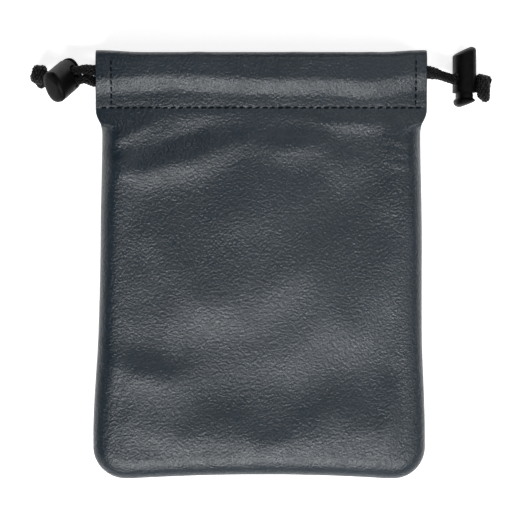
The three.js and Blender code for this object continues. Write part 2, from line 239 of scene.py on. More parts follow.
class Nodes:
    """A material's node tree, with short calls for the nodes these finishes use."""

    def __init__(self, name):
        self.material = bpy.data.materials.new(name)
        self.material.use_nodes = True
        self.tree = self.material.node_tree
        self.shader = self.tree.nodes["Principled BSDF"]
        self.place = self.add("ShaderNodeTexCoord").outputs["Object"]

    def add(self, kind, **values):
        node = self.tree.nodes.new(kind)
        for key, value in values.items():
            setattr(node, key, value)
        return node

    def link(self, source, target):
        self.tree.links.new(source, target)

    def noise(self, size, detail=3.0, roughness=0.55, distortion=0.0):
        node = self.add("ShaderNodeTexNoise")
        node.inputs["Scale"].default_value = 1 / size
        node.inputs["Detail"].default_value = detail
        node.inputs["Roughness"].default_value = roughness
        node.inputs["Distortion"].default_value = distortion
        self.link(self.place, node.inputs["Vector"])
        return node.outputs["Fac"]

    def cells(self, size, smoothness):
        node = self.add("ShaderNodeTexVoronoi", feature="SMOOTH_F1")
        node.inputs["Scale"].default_value = 1 / size
        node.inputs["Smoothness"].default_value = smoothness
        self.link(self.place, node.inputs["Vector"])
        return node.outputs["Distance"]

    def span(self, source, low, high, to_low=0.0, to_high=1.0):
        node = self.add("ShaderNodeMapRange")
        for index, value in enumerate((low, high, to_low, to_high), start=1):
            node.inputs[index].default_value = value
        self.link(source, node.inputs[0])
        return node.outputs[0]

    def math(self, operation, a, b):
        node = self.add("ShaderNodeMath", operation=operation)
        for socket, value in zip(node.inputs, (a, b)):
            if isinstance(value, (int, float)):
                socket.default_value = value
            else:
                self.link(value, socket)
        return node.outputs[0]

    def mix(self, factor, a, b):
        node = self.add("ShaderNodeMix", data_type="RGBA")
        self.link(factor, node.inputs[0])
        for socket, value in ((node.inputs[6], a), (node.inputs[7], b)):
            if isinstance(value, tuple):
                socket.default_value = (*value, 1.0)
            else:
                self.link(value, socket)
        return node.outputs[2]

    def bump(self, height, distance, strength=1.0, under=None):
        node = self.add("ShaderNodeBump")
        node.inputs["Distance"].default_value = distance
        node.inputs["Strength"].default_value = strength
        self.link(height, node.inputs["Height"])
        if under is not None:
            self.link(under, node.inputs["Normal"])
        return node.outputs["Normal"]

    def finish(self, colour, roughness, normal, **constants):
        self.link(colour, self.shader.inputs["Base Color"])
        self.link(roughness, self.shader.inputs["Roughness"])
        self.link(normal, self.shader.inputs["Normal"])
        for name, value in constants.items():
            self.shader.inputs[name.replace("_", " ")].default_value = value
        return self.material


def shade(colour, factor):
    """The colour, made paler by a factor above 1 or darker by one below it."""
    return tuple(min(1.0, c * factor) for c in colour)


def leather_finish(settings):
    """Grained faux leather: two blue-greys, pebbles with tight valleys, painted shade in the pore hollows and
    a painted highlight on the pore tops.
    """
    n = Nodes("faux_leather_finish")
    grain = settings.grain
    pebbles = n.span(n.cells(grain * 1.15, smoothness=0.3), 0.0, 0.8)
    pores = n.noise(grain * 0.85, detail=3, roughness=0.65)
    clouds = n.noise(30 * MM, detail=3, roughness=0.5)
    blotches = n.noise(5 * MM, detail=5, roughness=0.65, distortion=0.7)
    tone = n.math("ADD", n.span(clouds, 0.34, 0.66, 0.0, 0.55), n.span(blotches, 0.34, 0.68, 0.0, 0.55))
    base = n.mix(tone, tuple(settings.dark), tuple(settings.light))
    # Painted highlight: the tops of the pores are painted paler, standing in for light sparkling on the
    # grain.
    painted_pore_highlight = n.span(pores, 0.52, 0.7, 0.0, 0.6)
    colour = n.mix(painted_pore_highlight, base, shade(settings.light, 1.8))
    # Painted shade: the pore hollows are painted darker, as if shade fell in them.
    hollow = n.span(pores, 0.3, 0.48, 0.75, 0.0)
    colour = n.mix(hollow, colour, shade(settings.dark, 0.55))
    roughness = n.span(n.math("ADD", pores, blotches), 0.75, 1.3, 0.46, 0.27)
    relief = n.math("SUBTRACT", pores, n.math("MULTIPLY", pebbles, 0.45))
    soft = n.bump(n.noise(3.4 * MM, detail=2), 0.2 * MM, 0.25)
    normal = n.bump(relief, 0.19 * MM, 1.0, under=soft)
    return n.finish(colour, roughness, normal, Specular_IOR_Level=0.55)


def thread_finish(settings):
    """Twisted sewing thread, matte, a little paler on its high fibres."""
    n = Nodes("thread_finish")
    fibres = n.noise(0.12 * MM, detail=3, roughness=0.7)
    colour = n.mix(n.span(fibres, 0.4, 0.75), tuple(settings.colour), shade(settings.colour, 2.6))
    roughness = n.span(fibres, 0.3, 0.7, 0.65, 0.9)
    normal = n.bump(fibres, 0.06 * MM, 0.8)
    return n.finish(colour, roughness, normal, Specular_IOR_Level=0.12)


def cord_finish(settings):
    """Filament yarn in a round braid: near black, with a painted highlight on the fine fibres where they
    catch the light.
    """
    n = Nodes("braided_cord_finish")
    fibres = n.noise(0.16 * MM, detail=4, roughness=0.75)
    highlight_patches = n.noise(1.4 * MM, detail=2)
    # Painted highlight: the high fibres are painted paler, more in some patches than in others.
    wear_and_painted_highlight = n.math("MULTIPLY", n.span(fibres, 0.45, 0.72), n.span(highlight_patches, 0.35, 0.65, 0.5, 1.0))
    colour = n.mix(wear_and_painted_highlight, tuple(settings.colour), shade(settings.colour, 3))
    roughness = n.span(fibres, 0.3, 0.7, 0.34, 0.55)
    normal = n.bump(fibres, 0.07 * MM, 0.9)
    return n.finish(colour, roughness, normal, Specular_IOR_Level=0.22)


def plastic_finish(settings):
    """Moulded black plastic with a fine spark texture and faint rubbing."""
    n = Nodes("lock_plastic_finish")
    texture = n.noise(0.22 * MM, detail=3, roughness=0.6)
    rubbing = n.noise(2.4 * MM, detail=4, roughness=0.65, distortion=0.8)
    # The plastic's paler rubbing is wear. No light is painted here.
    wear_and_painted_highlight = n.span(rubbing, 0.45, 0.75, 0.0, 0.7)
    colour = n.mix(wear_and_painted_highlight, tuple(settings.colour), shade(settings.colour, 3.2))
    roughness = n.span(rubbing, 0.3, 0.7, 0.4, 0.55)
    normal = n.bump(texture, 0.03 * MM, 0.5)
    return n.finish(colour, roughness, normal, Specular_IOR_Level=0.1)


def steel_finish():
    """Drawn spring wire with fine lines."""
    n = Nodes("spring_steel_finish")
    lines = n.noise(0.1 * MM, detail=2)
    colour = n.mix(n.span(lines, 0.3, 0.7), (0.42, 0.42, 0.43), (0.66, 0.66, 0.67))
    roughness = n.span(lines, 0.3, 0.7, 0.22, 0.36)
    normal = n.bump(lines, 0.02 * MM, 0.5)
    return n.finish(colour, roughness, normal, Metallic=1.0)


def finish_called(name, make, *args):
    return bpy.data.materials.get(name) or make(*args)


# ---------------------------------------------------------------- mesh helpers

def smoothstep(value, low, high):
    t = np.clip((value - low) / (high - low), 0, 1)
    return t * t * (3 - 2 * t)


def lerp(a, b, t):
    return a + (b - a) * t


def quarter_round(distance, radius):
    t = np.clip(distance / radius, 0, 1)
    return np.sqrt(np.maximum(1 - (1 - t) ** 2, 0))


def mesh_object(name, points, faces):
    mesh = bpy.data.meshes.new(name)
    mesh.from_pydata([tuple(p) for p in points], [], faces)
    mesh.update()
    made = bpy.data.objects.new(name, mesh)
    bpy.context.scene.collection.objects.link(made)
    return made


def new_piece(name, points, faces, material):
    piece = mesh_object(name, points, faces)
    piece.data.polygons.foreach_set("use_smooth", [True] * len(faces))
    piece.data.materials.append(material)
    return piece


def apply_modifiers(stock):
    shown = stock.evaluated_get(bpy.context.evaluated_depsgraph_get())
    mesh = bpy.data.meshes.new_from_object(shown)
    stock.modifiers.clear()
    stock.data = mesh


def circle_angles(count):
    return np.linspace(0, 2 * math.pi, count + 1)[:-1]


def ring_faces(rings, sides, start=0):
    """Quads between rings of points, and a flat cap at each end."""
    faces = []
    for r in range(rings - 1):
        low, high = start + r * sides, start + (r + 1) * sides
        for k in range(sides):
            j = (k + 1) % sides
            faces.append((low + k, low + j, high + j, high + k))
    faces.append(tuple(start + k for k in reversed(range(sides))))
    last = start + (rings - 1) * sides
    faces.append(tuple(last + k for k in range(sides)))
    return faces


def grid_quads(rows, columns, start=0, flip=False):
    faces = []
    for r in range(rows - 1):
        for c in range(columns - 1):
            a = start + r * columns + c
            quad = (a, a + 1, a + columns + 1, a + columns)
            faces.append(quad[::-1] if flip else quad)
    return faces


def distances_along(path):
    steps = np.linalg.norm(np.diff(path, axis=0), axis=1)
    return np.concatenate([[0], np.cumsum(steps)])


def along_path(points, count):
    """A Catmull-Rom curve through the points, resampled at even distances."""
    control = np.array(points, float)
    first = 2 * control[0] - control[1]
    last = 2 * control[-1] - control[-2]
    padded = np.vstack([first, control, last])
    fine = []
    for i in range(len(control) - 1):
        p0, p1, p2, p3 = padded[i:i + 4]
        for t in np.linspace(0, 1, 40, endpoint=False):
            fine.append(0.5 * (2 * p1 + (p2 - p0) * t + (2 * p0 - 5 * p1 + 4 * p2 - p3) * t ** 2
                               + (3 * p1 - p0 - 3 * p2 + p3) * t ** 3))
    fine.append(control[-1])
    fine = np.array(fine)
    travelled = distances_along(fine)
    even = np.linspace(0, travelled[-1], count)
    return np.stack([np.interp(even, travelled, fine[:, k]) for k in range(3)], 1), travelled[-1]


def path_frames(path):
    """Tangent and two normals at each point, turned no more than the path turns."""
    tangents = np.gradient(path, axis=0)
    tangents /= np.linalg.norm(tangents, axis=1, keepdims=True)
    up = np.array([0.0, 0.0, 1.0])
    if abs(tangents[0] @ up) > 0.9:
        up = np.array([0.0, 1.0, 0.0])
    normal = up - tangents[0] * (up @ tangents[0])
    normals = []
    for tangent in tangents:
        normal = normal - tangent * (normal @ tangent)
        normal = normal / np.linalg.norm(normal)
        normals.append(normal)
    normals = np.array(normals)
    return tangents, normals, np.cross(tangents, normals)


def round_rings(path, normals, sides, radius, count):
    """Rings of a round tube along a path. The radius is one number, or one for each point."""
    points = []
    for c, n, s, r in zip(path, normals, sides, np.broadcast_to(radius, len(path))):
        points += [c + (n * math.cos(a) + s * math.sin(a)) * r for a in circle_angles(count)]
    return points


# ---------------------------------------------------------------- the leather's shape

def casing_share(y):
    """0 on the body of the bag, and 1 on the casing above it."""
    return smoothstep(y, 48.5 * MM, 55 * MM)


def side_half_width(y):
    base = lerp(BASE_HALF_WIDTH, BODY_HALF_WIDTH, smoothstep(y, -62 * MM, -20 * MM))
    neck = lerp(base, NECK_HALF_WIDTH, smoothstep(y, 10 * MM, 48 * MM))
    return lerp(neck, CASING_HALF_WIDTH, smoothstep(y, 50 * MM, 55.6 * MM))


def half_width(y):
    above_corner = np.minimum(y - (BOTTOM_Y + CORNER_RADIUS), 0)
    inset = CORNER_RADIUS - np.sqrt(np.maximum(CORNER_RADIUS ** 2 - above_corner ** 2, 0))
    return side_half_width(y) - inset


def seam_distance(x, y):
    """How far in from the sewn edge a place lies. The casing's open ends count as far from it."""
    across = side_half_width(y) - np.abs(x)
    up = y - BOTTOM_Y
    open_ends = SEAM_RADIUS * 2 * casing_share(y)
    corner = CORNER_RADIUS - np.hypot(CORNER_RADIUS - across, CORNER_RADIUS - up)
    in_corner = (across < CORNER_RADIUS) & (up < CORNER_RADIUS)
    return np.where(in_corner, corner, np.minimum(across, up)) + open_ends


def casing_half(x, y):
    """Half the casing's thickness: flat beside its stitch row, then swelling over the cord."""
    drift = ripple(x, 0 * x, 26 * MM, 4.4) * 2.2 * MM
    flat = smoothstep(y, STITCH_Y, STITCH_Y + 5 * MM)
    swell = smoothstep(y + drift, CORD_Y - 8 * MM, CORD_Y - 0.6 * MM)
    full = CASING_HALF_MAX - CASING_HALF_MIN
    return CASING_HALF_MIN + full * (0.12 * flat + 0.88 * swell)


def casing_plane(x, side):
    """Height of the casing's middle, which changes towards its ends."""
    middle, end = CASING_PLANES[side]
    return lerp(middle, end, np.abs(x / CASING_HALF_WIDTH) ** 4)


def seam_height(y):
    """Height of the edge where the front and back are sewn together."""
    return lerp(5.6 * MM, 7.6 * MM, smoothstep(y, BOTTOM_Y, 50 * MM))


def belly_height(y, side):
    """Height of a panel's outer face inside its edges. The back lies on the floor."""
    if side > 0:
        return lerp(11 * MM, 15 * MM, smoothstep(y, BOTTOM_Y, 52 * MM))
    return np.zeros_like(y)


def bottom_arch(x, y):
    near = 1 - smoothstep(y, BOTTOM_Y, -58 * MM)
    return BOTTOM_ARCH * near * (1 - np.minimum((x / (45 * MM)) ** 2, 1))


# Soft dents and ridges left by folding and packing: middle, length and width in millimetres,
# turn in degrees, and height in millimetres. They are on the front panel.
FOLDS = (
    ("long ridge from the left side to the middle", -30, 37, 52, 11, 14, 1.5),
    ("short ridge from the casing's left end", -46, 48, 22, 5, 26, 0.8),
    ("hollow between the two", -36, 43, 34, 7, 18, -0.7),
    ("rise under the middle of the casing", 12, 43, 22, 9, 6, 1.1),
    ("lip under the casing's right end", 31, 53, 36, 8, -2, 1.5),
    ("hollow right of the middle", 34, 24, 40, 20, 40, -0.9),
    ("rise near the lower left corner", -42, -39, 34, 14, -12, 1.6),
    ("hollow below the middle", 6, -44, 66, 20, 6, -0.9),
    ("long rise across the belly", -8, -12, 62, 16, 20, 0.7),
    ("ridge up the right side", 46, -58, 26, 7, 84, 0.8),
    ("ridge along the bottom", 0, -64, 104, 9, 0, 0.35),
    ("first pucker at the right seam", 52, 44, 12, 2.4, -8, 0.4),
    ("second pucker at the right seam", 53, 40, 11, 2.2, 4, 0.35),
    ("third pucker at the right seam", 52, 36, 13, 2.6, -4, 0.35),
    ("pucker at the left seam", -52, 38, 12, 2.6, 8, 0.35),
)


def folds(x, y):
    height = np.zeros_like(x)
    for _, cx, cy, length, width, turn, rise in FOLDS:
        angle = math.radians(turn)
        dx, dy = x - cx * MM, y - cy * MM
        along = dx * math.cos(angle) + dy * math.sin(angle)
        across = -dx * math.sin(angle) + dy * math.cos(angle)
        bend = across - along ** 2 / (length * 4 * MM)
        height += rise * MM * np.exp(-(along / (length / 2 * MM)) ** 2 - (bend / (width / 2 * MM)) ** 2)
    return height


def ripple(x, y, size, seed):
    """Smooth random values over the sheet, in waves of about the given size."""
    flat = np.stack([x.ravel() / size, y.ravel() / size], 1)
    values = [noise.noise((a, b, seed)) for a, b in flat]
    return np.array(values).reshape(x.shape)


EDGE_COLUMNS = 12
MIDDLE_COLUMNS = 158


def column_places(y):
    """X of each column in the row at y: closer together where the leather rolls over at the seams."""
    reach = half_width(y)
    turn = np.linspace(0, math.pi / 2, EDGE_COLUMNS, endpoint=False)
    edge = SEAM_RADIUS * (1 - np.cos(turn))
    inner = np.linspace(-(reach - SEAM_RADIUS), reach - SEAM_RADIUS, MIDDLE_COLUMNS)
    return np.concatenate([-reach + edge, inner, (reach - edge)[::-1]])


def sheet_rows():
    """Each row's Y and its share of the casing's half thickness, from raw edge over the fold to the seam."""
    fold_y = TOP_Y - FOLD_RADIUS
    near_row = 4 * MM
    rows = [(y, -1.0) for y in np.linspace(RAW_EDGE_Y, fold_y, 16, endpoint=False)]
    for angle in np.linspace(-math.pi / 2, math.pi / 2, 15):
        rows.append((fold_y + FOLD_RADIUS * math.cos(angle), math.sin(angle)))
    rows += [(y, 1.0) for y in np.linspace(fold_y, STITCH_Y + near_row, 15)[1:]]
    rows += [(y, 1.0) for y in np.linspace(STITCH_Y + near_row, STITCH_Y - near_row, 25)[1:]]
    roll_y = BOTTOM_Y + SEAM_RADIUS
    rows += [(y, 1.0) for y in np.linspace(STITCH_Y - near_row, roll_y, 122)[1:]]
    for angle in np.linspace(math.pi / 2, 0, 13)[1:]:
        rows.append((BOTTOM_Y + SEAM_RADIUS * (1 - math.cos(angle)), 1.0))
    return rows


LEFT_SPREAD = 0.026             # how much wider the lower left side is, as a share of x
SEAM_LIP = 0.34 * MM            # how far the outer face stands off the seam where it starts


def corner_flare(x, y):
    """The upper corners of the casing's ends reach a little further up than its middle."""
    return 0.8 * MM * smoothstep(np.abs(x), 42 * MM, 59 * MM) * smoothstep(y, 60 * MM, 76 * MM)


def leather_skin(side):
    """Outer face of one panel and its turned-back casing, as rows of points, before any wrinkling."""
    rows = sheet_rows()
    y = np.array([r[0] for r in rows])[:, None]
    part = np.array([r[1] for r in rows])[:, None]
    x = np.stack([column_places(r[0]) for r in rows])
    y = np.broadcast_to(y, x.shape)
    share = casing_share(y)
    plane = lerp(seam_height(y), casing_plane(x, side), share)
    half = casing_half(x, y)
    outer = lerp(belly_height(y, side), casing_plane(x, side) + side * half, share)
    rise = side * (outer - plane)
    lip = SEAM_LIP * (1 - share)
    rolled = lip + (rise - lip) * quarter_round(seam_distance(x, y), SEAM_RADIUS)
    rolled = np.where(part < 0, -half, rolled * np.where(part < 1, part, 1))
    z = plane + side * rolled
    spread = 1 + LEFT_SPREAD * smoothstep(-y, -15 * MM, 62 * MM) * (x < 0)
    return x * spread, y + bottom_arch(x, y) + corner_flare(x, y), z, np.broadcast_to(part, x.shape)


def grid_normals(x, y, z, side):
    points = np.stack([x, y, z], 2)
    down = np.gradient(points, axis=0)
    across = np.gradient(points, axis=1)
    normals = np.cross(across, down) * -side
    length = np.linalg.norm(normals, axis=2, keepdims=True)
    return points, normals / np.maximum(length, 1e-12)


# The cloth trial: how much larger than life it is, every which point it uses, and its frames.
TRIAL_SCALE = 10.0
TRIAL_STEP = 2
TRIAL_FRAMES = 24
CLOTH = dict(
    quality=6,
    mass=0.35,
    tension_stiffness=30,
    compression_stiffness=30,
    shear_stiffness=12,
    bending_stiffness=2.5,
    air_damping=2,
)


def between_grid(coarse, shape):
    """Values of a coarse grid, filled in for the full grid that it was thinned from."""
    rows, columns = coarse.shape[:2]
    row_at = np.clip(np.arange(shape[0]) / TRIAL_STEP, 0, rows - 1)
    column_at = np.clip(np.arange(shape[1]) / TRIAL_STEP, 0, columns - 1)
    fine = np.empty(shape)
    for k in range(3):
        wide = np.array([np.interp(column_at, np.arange(columns), line) for line in coarse[:, :, k]])
        tall = [np.interp(row_at, np.arange(rows), wide[:, c]) for c in range(wide.shape[1])]
        fine[:, :, k] = np.array(tall).T
    return fine


def slack_wrinkles(points, loose, slack):
    """Lets a coarse copy of the skin buckle as cloth that was cut too large, and gives how far it moved."""
    coarse = points[::TRIAL_STEP, ::TRIAL_STEP] * TRIAL_SCALE
    rows, columns = coarse.shape[:2]
    trial = mesh_object("wrinkle_trial", coarse.reshape(-1, 3), grid_quads(rows, columns))
    held = trial.vertex_groups.new(name="held")
    for index, weight in enumerate(1 - loose[::TRIAL_STEP, ::TRIAL_STEP].ravel()):
        held.add([index], float(weight), "REPLACE")
    cloth = trial.modifiers.new("cloth", "CLOTH")
    for name, value in CLOTH.items():
        setattr(cloth.settings, name, value)
    cloth.settings.shrink_min = -slack
    cloth.settings.vertex_group_mass = "held"
    cloth.settings.effector_weights.gravity = 0
    cloth.collision_settings.use_collision = False
    cloth.point_cache.frame_start = 1
    cloth.point_cache.frame_end = TRIAL_FRAMES
    scene = bpy.context.scene
    for step in range(1, TRIAL_FRAMES + 1):
        scene.frame_set(step)
    shown = trial.evaluated_get(bpy.context.evaluated_depsgraph_get())
    moved = np.array([v.co for v in shown.data.vertices]).reshape(rows, columns, 3) - coarse
    scene.frame_set(1)
    mesh = trial.data
    bpy.data.objects.remove(trial, do_unlink=True)
    bpy.data.meshes.remove(mesh)
    return between_grid(moved / TRIAL_SCALE, points.shape)


def close_sheet(outer, inner, side):
    """One closed skin from an outer and an inner grid, with a rounded rim between them."""
    rows, columns = outer.shape[:2]
    points = [*outer.reshape(-1, 3), *inner.reshape(-1, 3)]
    size = rows * columns
    faces = grid_quads(rows, columns) + grid_quads(rows, columns, size, flip=True)
    border = [(0, c) for c in range(columns)]
    border += [(r, columns - 1) for r in range(1, rows)]
    border += [(rows - 1, c) for c in range(columns - 2, -1, -1)]
    border += [(r, 0) for r in range(rows - 2, 0, -1)]
    start = len(points)
    for r, c in border:
        inward = (min(max(r, 1), rows - 2), min(max(c, 1), columns - 2))
        away = outer[r, c] - outer[inward]
        away /= max(np.linalg.norm(away), 1e-9)
        thick = np.linalg.norm(outer[r, c] - inner[r, c])
        points.append((outer[r, c] + inner[r, c]) / 2 + away * thick * 0.4)
    count = len(border)
    for k, (r, c) in enumerate(border):
        r2, c2 = border[(k + 1) % count]
        a, b = r * columns + c, r2 * columns + c2
        m, m2 = start + k, start + (k + 1) % count
        faces.append((b, a, m, m2))
        faces.append((m2, m, size + a, size + b))
    return points, [face[::-side] for face in faces]


def softened(field, rounds):
    """Averages each value with its neighbours, so that only broad folds stay."""
    for _ in range(rounds):
        wide = np.pad(field, 1, mode="edge")
        field = (wide[:-2, 1:-1] + wide[2:, 1:-1] + wide[1:-1, :-2] + wide[1:-1, 2:] + 2 * field) / 6
    return field


# Relief on the smooth skin: how wide each kind of wave or groove is, and how far it rises or sinks.
BROAD_WAVE, BROAD_RISE = 38 * MM, 0.7 * MM
SMALL_WAVE, SMALL_RISE = 15 * MM, 0.1 * MM
CASING_WAVE, CASING_RISE = 9 * MM, 0.22 * MM
SEAM_WAVE, SEAM_RISE = 7 * MM, 0.16 * MM
ROW_WIDTH, ROW_DEPTH = 0.9 * MM, 0.1 * MM
STITCH_WIDTH, STITCH_DEPTH = 1.3 * MM, 0.09 * MM
END_ROW_WIDTH, END_ROW_DEPTH, END_STITCH_DEPTH = 0.8 * MM, 0.14 * MM, 0.05 * MM
FOLD_SHARE = 0.68               # of the heights in FOLDS
BUCKLE_SHARE = 0.3              # of what the cloth trial gives
BACK_BUCKLE = 0.35              # how much of that the back has
BUCKLE_CAP = 0.55 * MM
BUCKLE_ROUNDS = 14              # of averaging
FLOOR_GAP = 0.02 * MM


def buckles(points, normals, loose, side, slack):
    """How far slack lifts the skin, made softer and lower than the trial gives it."""
    lift = softened(np.sum(slack_wrinkles(points, loose, slack) * normals, axis=2), BUCKLE_ROUNDS)
    share = 1.0 if side > 0 else BACK_BUCKLE
    return BUCKLE_CAP * np.tanh(BUCKLE_SHARE * lift / BUCKLE_CAP) * share


def thread_grooves(x, y, part, stitch):
    """How far the thread pulls the leather in, along the casing row and the short end rows."""
    on_face = part >= 1
    from_row = np.abs(y - STITCH_Y)
    beat = 0.5 + 0.5 * np.cos(2 * math.pi * x / stitch.pitch)
    depth = on_face * ROW_DEPTH * np.exp(-(from_row / ROW_WIDTH) ** 2)
    depth += on_face * STITCH_DEPTH * beat * np.exp(-from_row / STITCH_WIDTH)
    for end_x in (LEFT_END_X, RIGHT_END_X):
        near = np.exp(-((x - end_x) / END_ROW_WIDTH) ** 2) * (y > STITCH_Y) * (part > 0)
        depth += near * (END_ROW_DEPTH + END_STITCH_DEPTH * np.cos(2 * math.pi * y / stitch.end_pitch))
    return depth


def leather_grids(side, settings):
    """The finished outer and inner skins of one panel, wrinkles included."""
    x, y, z, part = leather_skin(side)
    points, normals = grid_normals(x, y, z, side)
    on_body = (part >= 1) & (y < STITCH_Y)
    from_seam = seam_distance(x, y)
    from_edge = np.minimum(from_seam, np.abs(STITCH_Y - y))
    loose = np.where(on_body, smoothstep(from_edge, 1.5 * MM, 12 * MM), 0.0)
    relief = ripple(x, y, BROAD_WAVE, 3.1 * side) * BROAD_RISE
    relief = (relief + ripple(x, y, SMALL_WAVE, 7.7 * side) * SMALL_RISE) * loose
    if side > 0:
        folded = np.where(on_body, smoothstep(from_edge, 0.5 * MM, 7 * MM), 0)
        relief += folds(x, y) * folded * FOLD_SHARE
    relief += buckles(points + normals * relief[..., None], normals, loose, side, settings.leather.slack)
    relief -= thread_grooves(x, y, part, settings.stitch)
    on_casing = (part > 0) & (y > STITCH_Y)
    relief += np.where(on_casing, ripple(x, y * 0.6, CASING_WAVE, 1.9 * side) * CASING_RISE, 0)
    beside_seam = np.exp(-from_seam / (4 * MM)) * smoothstep(from_seam, 0, 2.5 * MM)
    relief += beside_seam * (1 - casing_share(y)) * ripple(x * 0.6, y, SEAM_WAVE, 5.3) * SEAM_RISE
    if side < 0:
        relief = np.where(z - relief < 0, np.minimum(relief, z), relief)
    outer = points + normals * relief[..., None]
    if side < 0:
        outer[..., 2] = np.maximum(outer[..., 2], FLOOR_GAP)
    _, turned = grid_normals(*np.moveaxis(outer, 2, 0), side)
    return outer, outer - turned * settings.leather.thickness


# ---------------------------------------------------------------- round and braided stock

YARN_FILL = 0.56        # how much of its room round the cord a yarn fills
YARN_DEPTH = 0.16       # half a yarn's thickness, as a share of the cord's radius
YARN_WEAVE = 0.14       # how far a yarn moves out and in at each crossing, as the same share
CORE_SIDES = 12
CORE_INSET = 0.6        # how far the plain core lies below the yarns' middle, as a share of the weave
BRAID_STEP = 0.2 * MM   # from one ring of a yarn's points to the next


def braid_path(points):
    """A curve through the points, with a place for each ring of the braid, and its length."""
    _, length = along_path(points, 2)
    return along_path(points, int(length / BRAID_STEP))


def braid(name, path, radius, settings, squeeze=1.0):
    """A round braid along a path: yarns run both ways and pass over and under each other."""
    tangents, normals, sides = path_frames(path)
    travelled = distances_along(path)
    carriers, lay_length = settings.carriers, settings.lay_length
    spacing = 2 * math.pi / carriers
    yarn_width = 0.5 * radius * spacing * YARN_FILL
    yarn_depth = YARN_DEPTH * radius
    wave = YARN_WEAVE * radius
    mean = radius - yarn_depth - wave
    shrink = np.broadcast_to(squeeze, len(path))
    points, faces = [], []
    section = [(math.cos(a), math.sin(a)) for a in circle_angles(6)]
    for way in (1, -1):
        for yarn in range(carriers):
            first = spacing * (yarn + (0 if way > 0 else 0.5))
            angle = first + way * 2 * math.pi * travelled / lay_length
            other = (first + 2 * way * 2 * math.pi * travelled / lay_length) / spacing
            crossing = other - 0.5 if way > 0 else other
            over = way * np.cos(math.pi * (crossing + yarn))
            out = np.cos(angle)[:, None] * normals + np.sin(angle)[:, None] * sides
            turn = -np.sin(angle)[:, None] * normals + np.cos(angle)[:, None] * sides
            slope = way * 2 * math.pi * mean / lay_length
            along = tangents + turn * slope
            along /= np.linalg.norm(along, axis=1, keepdims=True)
            wide = np.cross(out, along)
            centre = path + out * ((mean + wave * over) * shrink)[:, None]
            start = len(points)
            for c, o, w, s in zip(centre, out, wide, shrink):
                points += [c + w * (a * yarn_width * s) + o * (b * yarn_depth * s) for a, b in section]
            faces += ring_faces(len(path), len(section), start)
    faces += ring_faces(len(path), CORE_SIDES, len(points))
    points += round_rings(path, normals, sides, (mean - wave * CORE_INSET) * shrink, CORE_SIDES)
    material = finish_called("braided_cord_finish", cord_finish, settings)
    return new_piece(name, points, faces, material)


STITCH_START, STITCH_END = 0.17, 0.83   # where a stitch shows, as shares of the way between its holes
STITCH_RINGS, STITCH_SIDES = 9, 6


def stitch_row(name, spots, ups, thread, material):
    """One small bowed stitch for each pair of neighbouring needle holes."""
    points, faces = [], []
    for (a, b), up in zip(zip(spots[:-1], spots[1:]), ups):
        a, b = np.array(a), np.array(b)
        up = np.array(up) / np.linalg.norm(up)
        run = b - a
        forward = run / np.linalg.norm(run)
        across = np.cross(up, forward)
        start = len(points)
        for share in np.linspace(0, 1, STITCH_RINGS):
            t = lerp(STITCH_START, STITCH_END, share)
            bow = max(math.sin(math.pi * share), 0)
            centre = a + run * t + up * (thread * (0.62 * bow ** 0.5 - 0.12))
            centre = centre + across * (thread * 0.25 * (t - 0.5))
            radius = thread / 2 * (0.72 + 0.28 * bow)
            for turn in circle_angles(STITCH_SIDES):
                points.append(centre + (across * math.cos(turn) + up * math.sin(turn)) * radius)
        faces += ring_faces(STITCH_RINGS, STITCH_SIDES, start)
    return new_piece(name, points, faces, material)


# ---------------------------------------------------------------- cord locks

# Each lock's centre in millimetres, and the directions of its barrel and of its flat sides.
LOCK_PLACES = {
    "left": ((-71.3, 66.9, 11.8), (-0.3, -0.36, 0.883), (0.894, 0.217, 0.392)),
    "right": ((73.35, 68.35, 6.6), (0, 1, 0), (0.985, 0, -0.174)),
}
OUTWARD = {"left": -1, "right": 1}


def lock_matrix(end):
    """The lock's own frame: X through its flat sides, Y across them, Z along the barrel."""
    centre, along, hint = LOCK_PLACES[end]
    z = Vector(along).normalized()
    x = Vector(hint)
    x = (x - z * x.dot(z)).normalized()
    y = z.cross(x)
    matrix = Matrix((x, y, z)).transposed().to_4x4()
    matrix.translation = Vector(centre) * MM
    return matrix


def lock_line(end):
    """Middle of the cord hole and the way the cords run through it, towards +X."""
    matrix = lock_matrix(end)
    x, y, z = (Vector(matrix.col[k][:3]) for k in range(3))
    hole = matrix.translation + z * CORD_HOLE
    travel = x - y * math.tan(CORD_HOLE_YAW[end]) - z * math.tan(CORD_HOLE_TILT)
    return np.array(hole), np.array(travel.normalized())


OVAL_POWER = 2.5
OVAL_POINTS = 64
DOME_STEPS = 9
BARREL_DOME = dict(edge=8.45 * MM, slope=0.26, peak=10.9 * MM, middle=2.4 * MM)
HEAD_DOME = dict(edge=-9.05 * MM, slope=0.095, peak=-11.0 * MM, middle=-1.6 * MM)
# The button's side from its head to its top: height, and how far it is drawn in, in millimetres.
BUTTON_SIDE = ((-8.6, 0), (-8.4, 0.1), (-8.15, 0.4), (-7.95, 0.68), (-7.8, 0.8), (2.4, 0.8))
SLOT_CORNER = 1.1 * MM
SPRING_WIRE, SPRING_RADIUS, SPRING_TURNS = 0.25 * MM, 1.65 * MM, 4.5
SPRING_FLAT = 0.12              # share of the wire that lies flat at each end
SPRING_POINTS, SPRING_SIDES = 180, 8


def oval(half_depth, half_breadth, height=0.0, slope=0.0, middle=0.0, share=0.0):
    """A flattened oval ring. Its height follows the slope, and share draws it in towards the middle."""
    ring = []
    for k in range(OVAL_POINTS):
        c, s = math.cos(2 * math.pi * k / OVAL_POINTS), math.sin(2 * math.pi * k / OVAL_POINTS)
        px = half_depth * math.copysign(abs(c) ** (2 / OVAL_POWER), c)
        py = half_breadth * math.copysign(abs(s) ** (2 / OVAL_POWER), s)
        ring.append((lerp(px, middle, share), lerp(py, 0, share), height + slope * px))
    return ring


